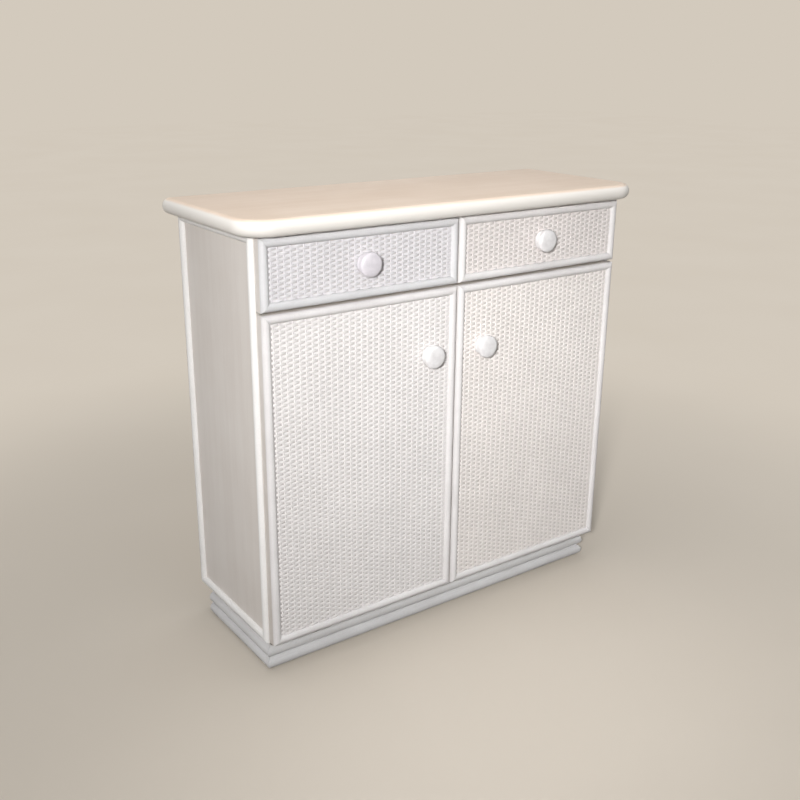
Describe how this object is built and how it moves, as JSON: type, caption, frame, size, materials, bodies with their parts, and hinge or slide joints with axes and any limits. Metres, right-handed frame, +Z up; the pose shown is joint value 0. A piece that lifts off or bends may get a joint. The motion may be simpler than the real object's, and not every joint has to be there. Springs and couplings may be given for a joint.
{
  "type": "record cabinet",
  "caption": "Low whitewashed cane cabinet: sliding drawers over swing doors with woven panels, round knobs, a thick bullnose top and a banded plinth.",
  "frame": {"origin": "on the floor, under the middle of the cabinet's width and depth", "axes": "+X to the right seen from the front, -Y towards the front, +Z up"},
  "size_m": [1.013, 0.382, 0.969],
  "materials": {
    "top_lacquer": "limed wood under satin lacquer, warm cream",
    "side_lacquer": "limed wood under satin lacquer, grey beige",
    "front_lacquer": "limed board under satin lacquer",
    "cane_strip": "whitewashed half-round cane, satin",
    "woven_cane": "whitewashed woven cane, satin",
    "knob_lacquer": "turned wood, white satin lacquer",
    "carcass_wood": "pale melamine-sealed board inside",
    "drawer_wood": "plain pale hardwood, sealed",
    "plywood": "thin plywood, sealed",
    "steel": "zinc-plated steel",
    "catch_plastic": "brown moulded plastic"
  },
  "bodies": {
    "root": {"top_board": "top_lacquer", "side_panel_left": "side_lacquer", "side_panel_right": "side_lacquer", "bottom_board": "carcass_wood", "centre_divider": "carcass_wood", "drawer_divider": "carcass_wood", "drawer_deck": "carcass_wood", "top_rail_front": "carcass_wood", "top_rail_back": "carcass_wood", "back_panel": "plywood", "side_trim_left": "cane_strip", "side_trim_right": "cane_strip", "plinth_front": "side_lacquer", "plinth_back": "side_lacquer", "plinth_side_left": "side_lacquer", "plinth_side_right": "side_lacquer", "plinth_band_lower": "cane_strip", "plinth_band_upper": "cane_strip", "shelf_left": "carcass_wood", "shelf_right": "carcass_wood", "shelf_battens": "carcass_wood", "drawer_runners": "drawer_wood", "pivot_arms": "steel", "pivot_pins": "steel", "magnet_catches": "catch_plastic"},
    "drawer_left": {"drawer_left_front": "front_lacquer", "drawer_left_frame": "cane_strip", "drawer_left_weave": "woven_cane", "drawer_left_sides": "drawer_wood", "drawer_left_back": "drawer_wood", "drawer_left_bottom": "plywood", "drawer_left_stop": "drawer_wood", "drawer_left_knob": "knob_lacquer"},
    "door_left": {"door_left_board": "front_lacquer", "door_left_frame": "cane_strip", "door_left_weave": "woven_cane", "door_left_knob": "knob_lacquer", "door_left_striker": "steel"},
    "drawer_right": {"drawer_right_front": "front_lacquer", "drawer_right_frame": "cane_strip", "drawer_right_weave": "woven_cane", "drawer_right_sides": "drawer_wood", "drawer_right_back": "drawer_wood", "drawer_right_bottom": "plywood", "drawer_right_stop": "drawer_wood", "drawer_right_knob": "knob_lacquer"},
    "door_right": {"door_right_board": "front_lacquer", "door_right_frame": "cane_strip", "door_right_weave": "woven_cane", "door_right_knob": "knob_lacquer", "door_right_striker": "steel"}
  },
  "joints": [
    {"name": "drawer_left_slide", "type": "slide", "parent": "root", "child": "drawer_left", "axis": [0, -1, 0], "range_m": [0, 0.239]},
    {"name": "drawer_right_slide", "type": "slide", "parent": "root", "child": "drawer_right", "axis": [0, -1, 0], "range_m": [0, 0.239]},
    {"name": "door_left_hinge", "type": "hinge", "parent": "root", "child": "door_left", "pos_m": [-0.4605, -0.1425, 0.43], "axis": [0, 0, -1], "range_deg": [0, 95]},
    {"name": "door_right_hinge", "type": "hinge", "parent": "root", "child": "door_right", "pos_m": [0.4605, -0.1425, 0.43], "axis": [0, 0, 1], "range_deg": [0, 95]}
  ]
}
